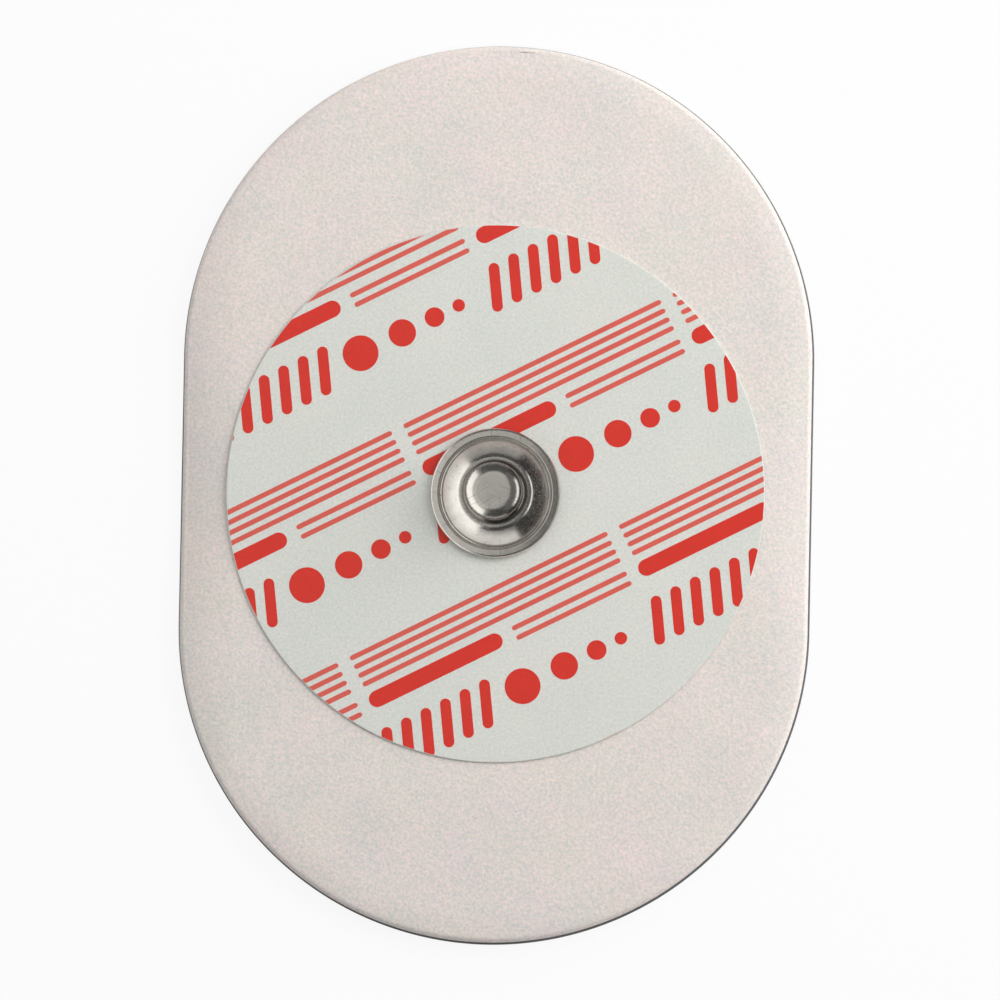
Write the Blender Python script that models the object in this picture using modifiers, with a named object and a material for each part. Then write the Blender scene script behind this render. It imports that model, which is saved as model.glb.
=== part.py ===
"""A foam ECG electrode with a metal snap stud, lying on its release liner.

Sizes are in metres. +Z is up and +Y runs along the pad.
The origin is the centre of the release liner's underside.
"""

import math

import bmesh
import bpy

# Foam pad and the well cut through it
PAD_LENGTH = 0.060
PAD_WIDTH = 0.042
FOAM_THICKNESS = 0.0015
FOAM_EDGE_ROUNDING = 0.0007
WELL_DIAMETER = 0.018

# Films
LINER_THICKNESS = 0.00015
LINER_OVERHANG = 0.0001
LABEL_DIAMETER = 0.036
LABEL_THICKNESS = 0.00012

# Sensor eyelet: a disc under the label, with a post that stands up inside the stud
EYELET_DIAMETER = 0.010
EYELET_THICKNESS = 0.00045
EYELET_EDGE_ROUNDING = 0.00015
POST_CHAMFER = 0.00025

# Snap stud: a drawn shell with a rolled rim, a bell, a neck and a head
STUD_WALL = 0.00025
STUD_FLANGE_DIAMETER = 0.0087
STUD_RIM_WIDTH = 0.0007
STUD_RIM_HEIGHT = 0.00045
STUD_GROOVE_DEPTH = 0.00015
STUD_GROOVE_ROUNDING = 0.00015
STUD_BELL_HEIGHT = 0.0011
STUD_NECK_FILLET = 0.00055
STUD_NECK_UNDERCUT = 0.00027
STUD_HEAD_DIAMETER = 0.0039
STUD_UNDERSIDE_HEIGHT = 0.0008
STUD_CROWN_HEIGHT = 0.0005
STUD_CROWN_WIDTH = 0.00072

# Clearances
LAYER_GAP = 0.00003  # the line of adhesive or air between faces that lie on each other
GEL_CLEARANCE = 0.0001  # round the gel in its well, and round the eyelet in the gel
POST_CLEARANCE = 0.00005  # round the post in the stud's neck
POST_TOP_CLEARANCE = 0.0001  # over the post, under the head
HOLE_CLEARANCE = 0.0001  # round the post in the label

# Fineness of the round stretches
END_STEPS = 40
WELL_STEPS = 64
DISC_STEPS = 96
STUD_STEPS = 48
CURVE_STEPS = 5
EDGE_SEGMENTS = 4

# Heights, from the liner's underside
FOAM_BOTTOM = LINER_THICKNESS + LAYER_GAP
FOAM_TOP = FOAM_BOTTOM + FOAM_THICKNESS
LABEL_BOTTOM = FOAM_TOP + LAYER_GAP
LABEL_TOP = LABEL_BOTTOM + LABEL_THICKNESS
STUD_BOTTOM = LABEL_TOP + LAYER_GAP
EYELET_TOP = LABEL_BOTTOM - LAYER_GAP
EYELET_BOTTOM = EYELET_TOP - EYELET_THICKNESS

# Stud radii, and heights above its own underside
HEAD_RADIUS = STUD_HEAD_DIAMETER / 2
HEAD_FLAT_RADIUS = HEAD_RADIUS - STUD_CROWN_WIDTH
NECK_RADIUS = HEAD_RADIUS - STUD_NECK_UNDERCUT
SHOULDER_RADIUS = NECK_RADIUS + STUD_NECK_FILLET
RIM_INNER_RADIUS = STUD_FLANGE_DIAMETER / 2 - STUD_RIM_WIDTH
FOOT_RADIUS = RIM_INNER_RADIUS - STUD_GROOVE_ROUNDING
GROOVE_Z = STUD_RIM_HEIGHT - STUD_GROOVE_DEPTH
FOOT_Z = GROOVE_Z + STUD_GROOVE_ROUNDING
SHOULDER_Z = FOOT_Z + STUD_BELL_HEIGHT
NECK_Z = SHOULDER_Z + STUD_NECK_FILLET
WIDEST_Z = NECK_Z + STUD_UNDERSIDE_HEIGHT
HEAD_TOP_Z = WIDEST_Z + STUD_CROWN_HEIGHT

POST_RADIUS = NECK_RADIUS - STUD_WALL - POST_CLEARANCE
POST_TOP = STUD_BOTTOM + HEAD_TOP_Z - STUD_WALL - POST_TOP_CLEARANCE

WELD_DISTANCE = 0.000001
CUTTER_MARGIN = 0.001


def clear_scene():
    for obj in list(bpy.data.objects):
        bpy.data.objects.remove(obj, do_unlink=True)


def new_collection(name):
    collection = bpy.data.collections.new(name)
    bpy.context.scene.collection.children.link(collection)
    return collection


def linear(channel):
    """An 8-bit sRGB channel as the linear value that a shader takes."""
    share = channel / 255
    return share / 12.92 if share <= 0.04045 else ((share + 0.055) / 1.055) ** 2.4


def new_material(name, colour, roughness, metallic=0.0, transmission=0.0):
    material = bpy.data.materials.new(name)
    material.use_nodes = True
    shader = material.node_tree.nodes["Principled BSDF"]
    shader.inputs["Base Color"].default_value = (*map(linear, colour), 1)
    shader.inputs["Roughness"].default_value = roughness
    shader.inputs["Metallic"].default_value = metallic
    shader.inputs["Transmission Weight"].default_value = transmission
    material.diffuse_color = (*map(linear, colour), 1)
    return material


def ellipse_arc(centre, radii, start, end, steps=CURVE_STEPS):
    """Points of an ellipse in the profile plane, from start to end degrees."""
    points = []
    for step in range(steps + 1):
        angle = math.radians(start + (end - start) * step / steps)
        points.append((centre[0] + radii[0] * math.cos(angle), centre[1] + radii[1] * math.sin(angle)))
    return points


def stadium(length, width):
    """The outline of a pad with straight sides and half-round ends, anticlockwise."""
    radius = width / 2
    straight = length / 2 - radius
    far_end = ellipse_arc((0, straight), (radius, radius), 0, 180, END_STEPS)
    near_end = ellipse_arc((0, -straight), (radius, radius), 180, 360, END_STEPS)
    return far_end + near_end


def plate(name, outline, thickness, bottom, material, collection):
    """A flat plate of one outline, as a filled and extruded curve."""
    curve = bpy.data.curves.new(name, "CURVE")
    curve.dimensions = "2D"
    curve.fill_mode = "BOTH"
    curve.extrude = thickness / 2
    spline = curve.splines.new("POLY")
    spline.points.add(len(outline) - 1)
    for point, (x, y) in zip(spline.points, outline):
        point.co = (x, y, 0, 1)
    spline.use_cyclic_u = True
    curve.materials.append(material)
    obj = bpy.data.objects.new(name, curve)
    obj.location.z = bottom + thickness / 2
    collection.objects.link(obj)
    return obj


def turned(name, profile, steps, material, collection, ring=False):
    """A profile of (radius, height) points, turned round Z. A ring's is closed and off the axis."""
    edges = [(i, i + 1) for i in range(len(profile) - 1)]
    if ring:
        edges.append((len(profile) - 1, 0))
    mesh = bpy.data.meshes.new(name)
    mesh.from_pydata([(radius, 0, height) for radius, height in profile], edges, [])
    mesh.materials.append(material)
    obj = bpy.data.objects.new(name, mesh)
    collection.objects.link(obj)
    screw = obj.modifiers.new("Turn", "SCREW")
    screw.axis = "Z"
    screw.angle = math.tau
    screw.steps = steps
    screw.render_steps = steps
    screw.use_smooth_shade = True
    screw.use_merge_vertices = True
    screw.merge_threshold = WELD_DISTANCE
    return obj


def mesh_from_curve(obj, collection):
    """The curve object made a mesh object, its caps welded to its sides and each cap one face."""
    name = obj.name
    graph = bpy.context.evaluated_depsgraph_get()
    mesh = bpy.data.meshes.new_from_object(obj.evaluated_get(graph))
    work = bmesh.new()
    work.from_mesh(mesh)
    bmesh.ops.remove_doubles(work, verts=work.verts, dist=WELD_DISTANCE)
    inner_edges = [e for e in work.edges if all(abs(f.normal.z) > 0.5 for f in e.link_faces)]
    bmesh.ops.dissolve_edges(work, edges=inner_edges, use_verts=False)
    work.to_mesh(mesh)
    work.free()
    matrix = obj.matrix_world.copy()
    bpy.data.objects.remove(obj, do_unlink=True)
    made = bpy.data.objects.new(name, mesh)
    made.matrix_world = matrix
    collection.objects.link(made)
    return made


def weigh_top_edge(obj):
    """Gives the edges round the top face, and no others, a full bevel weight."""
    work = bmesh.new()
    work.from_mesh(obj.data)
    weight = work.edges.layers.float.new("bevel_weight_edge")
    top = max(work.faces, key=lambda face: face.calc_center_median().z)
    for edge in top.edges:
        edge[weight] = 1.0
    work.to_mesh(obj.data)
    work.free()


def smooth(obj, angle=40):
    obj.data.shade_smooth()
    obj.data.set_sharp_from_angle(angle=math.radians(angle))


def make_release_liner(parts):
    film = new_material("clear_liner_film", (226, 230, 232), 0.12, transmission=0.8)
    outline = stadium(PAD_LENGTH + 2 * LINER_OVERHANG, PAD_WIDTH + 2 * LINER_OVERHANG)
    plate("release_liner", outline, LINER_THICKNESS, 0, film, parts)


def make_foam_pad(parts, cutters):
    foam = new_material("foam_tape", (223, 216, 210), 0.8)
    outline = stadium(PAD_LENGTH, PAD_WIDTH)
    curve = plate("foam_pad", outline, FOAM_THICKNESS, FOAM_BOTTOM, foam, parts)
    bpy.context.view_layer.update()
    pad = mesh_from_curve(curve, parts)
    weigh_top_edge(pad)
    smooth(pad)

    rounding = pad.modifiers.new("Die-cut edge", "BEVEL")
    rounding.limit_method = "WEIGHT"
    rounding.width = FOAM_EDGE_ROUNDING
    rounding.segments = EDGE_SEGMENTS

    bpy.ops.mesh.primitive_cylinder_add(
        vertices=WELL_STEPS,
        radius=WELL_DIAMETER / 2,
        depth=FOAM_THICKNESS + 2 * CUTTER_MARGIN,
        location=(0, 0, (FOAM_BOTTOM + FOAM_TOP) / 2),
    )
    cutter = bpy.context.object
    cutter.name = "well_cutter"
    for collection in list(cutter.users_collection):
        collection.objects.unlink(cutter)
    cutters.objects.link(cutter)
    cutter.hide_render = True
    cutter.display_type = "WIRE"

    well = pad.modifiers.new("Gel well", "BOOLEAN")
    well.operation = "DIFFERENCE"
    well.object = cutter


def make_gel_pad(parts):
    hydrogel = new_material("hydrogel", (214, 222, 220), 0.15, transmission=0.5)
    radius = WELL_DIAMETER / 2 - GEL_CLEARANCE
    pocket_radius = EYELET_DIAMETER / 2 + GEL_CLEARANCE
    pocket_floor = EYELET_BOTTOM - LAYER_GAP
    profile = [
        (0, pocket_floor),
        (pocket_radius, pocket_floor),
        (pocket_radius, EYELET_TOP),
        (radius, EYELET_TOP),
        (radius, FOAM_BOTTOM),
        (0, FOAM_BOTTOM),
    ]
    smooth(turned("gel_pad", profile, WELL_STEPS, hydrogel, parts))


def make_sensor_eyelet(parts):
    coating = new_material("silver_chloride_coating", (150, 148, 146), 0.5, metallic=0.6)
    radius = EYELET_DIAMETER / 2
    edge = (EYELET_EDGE_ROUNDING, EYELET_EDGE_ROUNDING)
    edge_radius = radius - EYELET_EDGE_ROUNDING
    profile = [(0, POST_TOP), (POST_RADIUS - POST_CHAMFER, POST_TOP)]
    profile += [(POST_RADIUS, POST_TOP - POST_CHAMFER), (POST_RADIUS, EYELET_TOP)]
    profile += ellipse_arc((edge_radius, EYELET_TOP - EYELET_EDGE_ROUNDING), edge, 90, 0, EDGE_SEGMENTS)
    profile += ellipse_arc((edge_radius, EYELET_BOTTOM + EYELET_EDGE_ROUNDING), edge, 0, -90, EDGE_SEGMENTS)
    profile += [(0, EYELET_BOTTOM)]
    smooth(turned("sensor_eyelet", profile, STUD_STEPS, coating, parts))


def make_label_film(parts):
    film = new_material("printed_label_film", (213, 214, 207), 0.4)
    hole_radius = POST_RADIUS + HOLE_CLEARANCE
    radius = LABEL_DIAMETER / 2
    profile = [
        (hole_radius, LABEL_TOP),
        (radius, LABEL_TOP),
        (radius, LABEL_BOTTOM),
        (hole_radius, LABEL_BOTTOM),
    ]
    smooth(turned("label_film", profile, DISC_STEPS, film, parts, ring=True))


def shell_line(inset):
    """The stud's wall from the middle of the head down to the foot of the bell, inset from the outside."""
    crown = ellipse_arc(
        (HEAD_FLAT_RADIUS, WIDEST_Z), (STUD_CROWN_WIDTH - inset, STUD_CROWN_HEIGHT - inset), 90, 0
    )
    underside = []
    for step in range(1, CURVE_STEPS):
        share = step / CURVE_STEPS
        undercut = STUD_NECK_UNDERCUT * (1 - math.cos(math.pi * share)) / 2
        underside.append((HEAD_RADIUS - undercut - inset, WIDEST_Z - STUD_UNDERSIDE_HEIGHT * share))
    fillet = ellipse_arc(
        (SHOULDER_RADIUS, NECK_Z), (STUD_NECK_FILLET + inset, STUD_NECK_FILLET + inset), 180, 270
    )
    bell_width = FOOT_RADIUS - SHOULDER_RADIUS
    bell = ellipse_arc((SHOULDER_RADIUS, FOOT_Z), (bell_width - inset, STUD_BELL_HEIGHT - inset), 90, 0)
    return [(0, HEAD_TOP_Z - inset)] + crown + underside + fillet + bell[1:]


def make_snap_stud(parts):
    nickel = new_material("nickel_plating", (190, 188, 182), 0.22, metallic=1.0)
    groove = ellipse_arc(
        (RIM_INNER_RADIUS, FOOT_Z), (STUD_GROOVE_ROUNDING, STUD_GROOVE_ROUNDING), 180, 270, EDGE_SEGMENTS
    )
    bead = (STUD_RIM_WIDTH / 2, STUD_RIM_HEIGHT / 2)
    bead_centre = (RIM_INNER_RADIUS + bead[0], bead[1])
    rise = math.degrees(math.asin((GROOVE_Z - bead[1]) / bead[1]))
    rim = ellipse_arc(bead_centre, bead, 180 - rise, -90, 2 * CURVE_STEPS)
    inside = shell_line(STUD_WALL)
    foot = [(inside[-1][0], 0)]
    profile = shell_line(0) + groove[1:] + rim + foot + inside[::-1]
    stud = turned("snap_stud", profile, STUD_STEPS, nickel, parts)
    smooth(stud)
    stud.location.z = STUD_BOTTOM


clear_scene()
electrode = new_collection("ecg_electrode")
well_cutters = new_collection("cutters")
make_release_liner(electrode)
make_foam_pad(electrode, well_cutters)
make_gel_pad(electrode)
make_sensor_eyelet(electrode)
make_label_film(electrode)
make_snap_stud(electrode)
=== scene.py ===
"""A disposable foam ECG electrode with a metal snap stud, lying label up on its release liner."""
import math

import bmesh
import bpy
import numpy as np
from mathutils import Matrix, Vector, geometry, noise


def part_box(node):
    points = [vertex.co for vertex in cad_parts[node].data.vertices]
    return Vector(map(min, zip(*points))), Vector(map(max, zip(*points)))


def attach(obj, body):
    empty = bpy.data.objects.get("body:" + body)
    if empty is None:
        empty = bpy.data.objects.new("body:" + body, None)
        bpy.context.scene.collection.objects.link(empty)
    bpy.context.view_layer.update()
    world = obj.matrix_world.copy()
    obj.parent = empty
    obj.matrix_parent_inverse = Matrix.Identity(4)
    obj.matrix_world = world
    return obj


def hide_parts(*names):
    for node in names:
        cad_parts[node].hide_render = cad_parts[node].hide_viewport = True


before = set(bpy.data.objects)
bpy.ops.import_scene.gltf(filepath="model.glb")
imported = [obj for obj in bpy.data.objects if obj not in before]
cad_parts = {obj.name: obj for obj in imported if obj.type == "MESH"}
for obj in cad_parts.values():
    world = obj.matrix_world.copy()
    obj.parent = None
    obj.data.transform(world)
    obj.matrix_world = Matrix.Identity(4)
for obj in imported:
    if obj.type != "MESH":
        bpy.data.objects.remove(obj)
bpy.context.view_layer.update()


# Release liner.
# A clear polyester film, die-cut a hair larger than the pad, which the adhesive and the gel stick to until
# use. Its outer strip is painted dark as the shade at the pad's foot, which draws a fine dark line round the
# pad.

MM = 0.001  # the frame is in metres
LINER_EDGE_ROUNDING = 0.02 * MM
LINER_RING_RADII = (0.4, 4.0, 8.0, 12.0, 16.0, 19.0, 20.6, 20.88)  # mm; beyond the last, its faces take the painted shade
END_POINTS = 188  # round each half-round end of an outline
SIDE_POINTS = 52  # along each straight side of it
RING_POINTS = 2 * (END_POINTS + SIDE_POINTS)

liner_low, liner_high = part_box("release_liner")
liner_radius = liner_high.x
liner_straight = liner_high.y - liner_high.x


def stadium_ring(radius, straight, z):
    """Points round an outline with half-round ends, counter-clockwise from where its right side ends."""
    points = []
    for side in (1, -1):
        for step in range(END_POINTS):
            angle = math.pi * step / END_POINTS
            points.append((side * radius * math.cos(angle), side * (straight + radius * math.sin(angle)), z))
        for step in range(SIDE_POINTS):
            points.append((-side * radius, side * straight * (1 - 2 * step / SIDE_POINTS), z))
    return points


def loft(rings, closed=False):
    """Points and faces of the surface through rings that have as many points each."""
    count = len(rings[0])
    points = [point for ring in rings for point in ring]
    faces = []
    for row in range(len(rings) if closed else len(rings) - 1):
        low, high = row * count, (row + 1) % len(rings) * count
        for step in range(count):
            after = (step + 1) % count
            faces.append((low + step, low + after, high + after, high + step))
    return points, faces


def stadium_cap(first):
    """Faces that close a narrow outline ring across its long axis. first is the ring's first point."""
    apex = END_POINTS // 2
    faces = []
    for step in range(apex, apex + RING_POINTS // 2):
        corners = [step, step + 1, END_POINTS - step - 1, END_POINTS - step]
        corners = [first + corner % RING_POINTS for corner in corners]
        faces.append(tuple(dict.fromkeys(corners)))
    return faces


def add_piece(name, points, faces, materials, sharp_angle=40, face_slots=None):
    """A mesh object with outward faces, smooth except at edges sharper than the angle."""
    mesh = bpy.data.meshes.new(name)
    mesh.from_pydata(points, [], faces)
    for material in materials:
        mesh.materials.append(material)
    if face_slots is not None:
        mesh.polygons.foreach_set("material_index", face_slots)
    shape = bmesh.new()
    shape.from_mesh(mesh)
    bmesh.ops.recalc_face_normals(shape, faces=shape.faces)
    shape.to_mesh(mesh)
    shape.free()
    mesh.polygons.foreach_set("use_smooth", [True] * len(mesh.polygons))
    mesh.set_sharp_from_angle(angle=math.radians(sharp_angle))
    piece = bpy.data.objects.new(name, mesh)
    bpy.context.scene.collection.objects.link(piece)
    return piece


def fit(piece, node):
    """Rides the piece on the one body, in place of its CAD node where it has one."""
    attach(piece, "root")
    if node:
        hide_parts(node)


def place(tree, kind, inputs=None, **settings):
    """A node of that kind with its settings, and its inputs set to values or joined to other outputs."""
    made = tree.nodes.new(kind)
    for key, value in settings.items():
        setattr(made, key, value)
    for key, value in (inputs or {}).items():
        if isinstance(value, bpy.types.NodeSocket):
            tree.links.new(value, made.inputs[key])
        else:
            made.inputs[key].default_value = value
    return made


def new_group(name, inputs, outputs):
    """An empty node group with first values for its inputs: (group, its input node, its output node)."""
    group = bpy.data.node_groups.new(name, "ShaderNodeTree")
    for label, value in inputs.items():
        kind = "NodeSocketColor" if isinstance(value, tuple) else "NodeSocketFloat"
        group.interface.new_socket(label, in_out="INPUT", socket_type=kind).default_value = value
    for label, kind in outputs.items():
        group.interface.new_socket(label, in_out="OUTPUT", socket_type="NodeSocket" + kind)
    return group, group.nodes.new("NodeGroupInput"), group.nodes.new("NodeGroupOutput")


# Fine hairline scratches in three directions, on the liner and on the stud.
SCRATCH_TURNS = (0.35, 1.5, 2.6)  # radians
SCRATCH_STRETCH = (0.08, 2.2, 0.6)  # long one way and thin the other
hairlines, hairlines_in, hairlines_out = new_group(
    "hairlines", {"Spacing": 0.4, "Amount": 0.5}, {"Mask": "Float"}
)
where = place(hairlines, "ShaderNodeTexCoord").outputs["Object"]
scale = place(
    hairlines, "ShaderNodeMath", {0: 1 / MM, 1: hairlines_in.outputs["Spacing"]}, operation="DIVIDE"
)
strokes = None
for turn in SCRATCH_TURNS:
    turned = place(hairlines, "ShaderNodeMapping", {"Vector": where, "Rotation": (0.0, 0.0, turn)})
    squeezed = place(
        hairlines, "ShaderNodeVectorMath", {0: turned.outputs[0], 1: SCRATCH_STRETCH}, operation="MULTIPLY"
    )
    lines = place(
        hairlines,
        "ShaderNodeTexNoise",
        {"Vector": squeezed.outputs[0], "Scale": scale.outputs[0], "Detail": 1.0},
    )
    thin = place(
        hairlines,
        "ShaderNodeMapRange",
        {"Value": lines.outputs["Fac"], "From Min": 0.67, "From Max": 0.76},
        interpolation_type="SMOOTHSTEP",
    ).outputs[0]
    strokes = thin if strokes is None else place(
        hairlines, "ShaderNodeMath", {0: strokes, 1: thin}, operation="MAXIMUM"
    ).outputs[0]
faded = place(
    hairlines, "ShaderNodeMath", {0: strokes, 1: hairlines_in.outputs["Amount"]}, operation="MULTIPLY"
)
hairlines.links.new(faded.outputs[0], hairlines_out.inputs["Mask"])

# Uneven tone, which every material takes: a soft cloud and a fine grain make its colour lighter and darker,
# and Tint says how far they shift its hue as well. The grain is put out too, for a bump.
NOISE_MIDDLE = 0.5
TONE_GAIN = 4.0  # the noise strays little from its middle
CLOUD_HUE = 0.35  # the cloud's part in the hue, beside the whole grain
HUE_WEIGHTS = (1.0, 0.55, 0.5)  # red shifts most
mottle, mottle_in, mottle_out = new_group(
    "mottle",
    {
        "Colour": (0.8, 0.8, 0.8, 1.0),
        "Cloud size": 3.0,
        "Cloud": 0.04,
        "Grain size": 0.25,
        "Grain": 0.05,
        "Tint": 0.02,
    },
    {"Colour": "Color", "Grain": "Float"},
)
where = place(mottle, "ShaderNodeTexCoord").outputs["Object"]
textures, tones = {}, {}
for kind, detail in (("Cloud", 2.0), ("Grain", 3.0)):
    scale = place(
        mottle, "ShaderNodeMath", {0: 1 / MM, 1: mottle_in.outputs[f"{kind} size"]}, operation="DIVIDE"
    )
    textures[kind] = place(
        mottle, "ShaderNodeTexNoise", {"Vector": where, "Scale": scale.outputs[0], "Detail": detail}
    )
    centred = place(
        mottle, "ShaderNodeMath", {0: textures[kind].outputs["Fac"], 1: NOISE_MIDDLE}, operation="SUBTRACT"
    )
    tones[kind] = place(
        mottle, "ShaderNodeMath", {0: centred.outputs[0], 1: mottle_in.outputs[kind]}, operation="MULTIPLY"
    )
total = place(
    mottle, "ShaderNodeMath", {0: tones["Cloud"].outputs[0], 1: tones["Grain"].outputs[0]}, operation="ADD"
)
level = place(
    mottle, "ShaderNodeMath", {0: total.outputs[0], 1: TONE_GAIN, 2: 1.0}, operation="MULTIPLY_ADD"
)
hues = place(
    mottle,
    "ShaderNodeVectorMath",
    {0: textures["Cloud"].outputs["Color"], 1: (CLOUD_HUE,) * 3, 2: textures["Grain"].outputs["Color"]},
    operation="MULTIPLY_ADD",
)
for operation, operand in (
    ("SUBTRACT", (NOISE_MIDDLE * (1 + CLOUD_HUE),) * 3),
    ("MULTIPLY", HUE_WEIGHTS),
):
    hues = place(mottle, "ShaderNodeVectorMath", {0: hues.outputs[0], 1: operand}, operation=operation)
hues = place(
    mottle,
    "ShaderNodeVectorMath",
    {0: hues.outputs[0], "Scale": mottle_in.outputs["Tint"]},
    operation="SCALE",
)
for operation, operand in (("ADD", level.outputs[0]), ("MULTIPLY", mottle_in.outputs["Colour"])):
    hues = place(mottle, "ShaderNodeVectorMath", {0: hues.outputs[0], 1: operand}, operation=operation)
mottle.links.new(hues.outputs[0], mottle_out.inputs["Colour"])
mottle.links.new(textures["Grain"].outputs["Fac"], mottle_out.inputs["Grain"])


def use_group(tree, group, inputs):
    """The group placed in a material with that material's own values."""
    made = place(tree, "ShaderNodeGroup", node_tree=group)
    for key, value in inputs.items():
        made.inputs[key].default_value = value
    return made


def mottled_material(name, finish, tones):
    """A material of uneven tone, its plain values given by socket: (material, tree, shader, mottle)."""
    material = bpy.data.materials.new(name)
    material.use_nodes = True
    tree = material.node_tree
    shader = tree.nodes["Principled BSDF"]
    for key, value in finish.items():
        shader.inputs[key].default_value = value
    tone = use_group(tree, mottle, tones)
    tree.links.new(tone.outputs["Colour"], shader.inputs["Base Color"])
    return material, tree, shader, tone


def add_relief(tree, shader, height, strength, depth):
    """A fine bump on the shader's normal, from a height that another node puts out."""
    bump = place(tree, "ShaderNodeBump", {"Strength": strength, "Distance": depth, "Height": height})
    tree.links.new(bump.outputs[0], shader.inputs["Normal"])


clear_film, tree, shader, _ = mottled_material(
    "clear_polyester_film",
    {"Roughness": 0.09, "IOR": 1.57},
    {"Colour": (0.80, 0.83, 0.85, 1.0), "Cloud size": 6.0, "Cloud": 0.02, "Grain size": 0.6, "Grain": 0.01},
)
marks = use_group(tree, hairlines, {"Spacing": 0.8, "Amount": 0.5}).outputs["Mask"]
slant = place(tree, "ShaderNodeLayerWeight", {"Blend": 0.35})
haze = place(tree, "ShaderNodeMapRange", {"Value": slant.outputs["Facing"], "To Min": 0.05, "To Max": 0.5})
cover = place(tree, "ShaderNodeMath", {0: marks, 1: 0.25, 2: haze.outputs[0]}, operation="MULTIPLY_ADD")
tree.links.new(cover.outputs[0], shader.inputs["Alpha"])
add_relief(tree, shader, marks, 0.3, 0.004 * MM)

# Painted shade: a dark, nearly opaque film for the liner's outer strip and cut edge, standing in for the
# shadow at the pad's foot.
painted_edge_shade = mottled_material(
    "liner_edge_painted_shade",
    {"Roughness": 0.35, "Alpha": 0.9},
    {"Colour": (0.16, 0.16, 0.165, 1.0), "Cloud size": 4.0, "Cloud": 0.05, "Grain size": 0.3, "Grain": 0.05},
)[0]

section = [(radius * MM, liner_low.z) for radius in LINER_RING_RADII]
for angle in np.radians([0, 30, 60, 90]):
    inward = LINER_EDGE_ROUNDING * (1 - math.sin(angle))
    section.append((liner_radius - inward, liner_low.z + LINER_EDGE_ROUNDING * (1 - math.cos(angle))))
section += [(radius, liner_high.z - (z - liner_low.z)) for radius, z in reversed(section)]
points, faces = loft([stadium_ring(radius, liner_straight, z) for radius, z in section])
# The rows beyond the last ring radius take the painted shade.
painted_shade_rows = range(len(LINER_RING_RADII) - 1, len(section) - len(LINER_RING_RADII))
slots = [1 if face // RING_POINTS in painted_shade_rows else 0 for face in range(len(faces))]
for first in (0, (len(section) - 1) * RING_POINTS):
    cap = stadium_cap(first)
    faces += cap
    slots += [0] * len(cap)
liner = add_piece("release_liner_film", points, faces, [clear_film, painted_edge_shade], 30, slots)
fit(liner, "release_liner")


# Foam pad.
# White closed-cell polyethylene foam tape, die-cut with half-round ends and punched with the round gel well.
# The die rounds its upper edge, and its long sides sag beside the stiffer label, the left one more.

WELL_RADIUS = 9.0 * MM
LINER_CLEARANCE = 0.004 * MM  # under the adhesive and the gel, which lie on the liner
RIPPLE_ROOM = 0.02 * MM  # keeps the ripples within the solid
BROAD_RIPPLE = (230.0, 0.014 * MM)  # how close, in turns a metre, and how high
FINE_RIPPLE = (900.0, 0.005 * MM)
SAG_START = 17.4 * MM
SAG_LEFT, SAG_LEFT_BESIDE_LABEL = 0.24 * MM, 0.46 * MM
SAG_RIGHT, SAG_RIGHT_BESIDE_LABEL = 0.03 * MM, 0.30 * MM
SAG_SPREAD = 8.5 * MM
SAG_CURVE = 1.25
SOFT_EDGE_WIDTH = 2.2 * MM
SOFT_EDGE_DROP = 0.17 * MM
EDGE_ROUNDING = (0.38 * MM, 0.40 * MM)  # across, down
WALL_HOLLOW = 0.03 * MM
WALL_LEAN = 0.08 * MM  # the die squeezes the wall, so its foot stands back
WALL_CELLS = (2600.0, 0.012 * MM)  # the cut cells: how close, in turns a metre, and how deep
INNER_OUTLINE = 13.0 * MM  # between this outline and the well, the rings change from one to the other
TOP_RADII = [*np.arange(13.4, 19.0, 0.36), *np.arange(19.0, 20.72, 0.17)]  # mm, closer where it sags
WALL_RINGS = 8
UNDERSIDE_RADII = (20.8, 20.0, 18.0, 16.0, 14.5, 13.0)  # mm
UNDERSIDE_SHARES = (0.75, 0.5, 0.25)  # of the way from the well to the inner outline

foam_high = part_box("foam_pad")[1]
pad_radius = foam_high.x
pad_straight = foam_high.y - foam_high.x
pad_bottom = liner_high.z + LINER_CLEARANCE


def ripple(x, y):
    """The slight unevenness of the foam's skin."""
    broad = noise.noise(Vector((x, y, 0.0)) * BROAD_RIPPLE[0]) * BROAD_RIPPLE[1]
    fine = noise.noise(Vector((x, y, 3 * MM)) * FINE_RIPPLE[0]) * FINE_RIPPLE[1]
    return broad + fine


def pad_top(x, y):
    """Height of the foam's upper face."""
    inward = pad_radius - math.hypot(x, max(abs(y) - pad_straight, 0.0))
    beside = max(abs(x) - SAG_START, 0.0) / (pad_radius - SAG_START)
    softened = max(1 - inward / SOFT_EDGE_WIDTH, 0.0)
    sag, more = (SAG_LEFT, SAG_LEFT_BESIDE_LABEL) if x < 0 else (SAG_RIGHT, SAG_RIGHT_BESIDE_LABEL)
    sag += more * math.exp(-((y / SAG_SPREAD) ** 2))
    drop = sag * beside**SAG_CURVE + SOFT_EDGE_DROP * softened**2
    return foam_high.z - RIPPLE_ROOM - drop + ripple(x, y)


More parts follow.
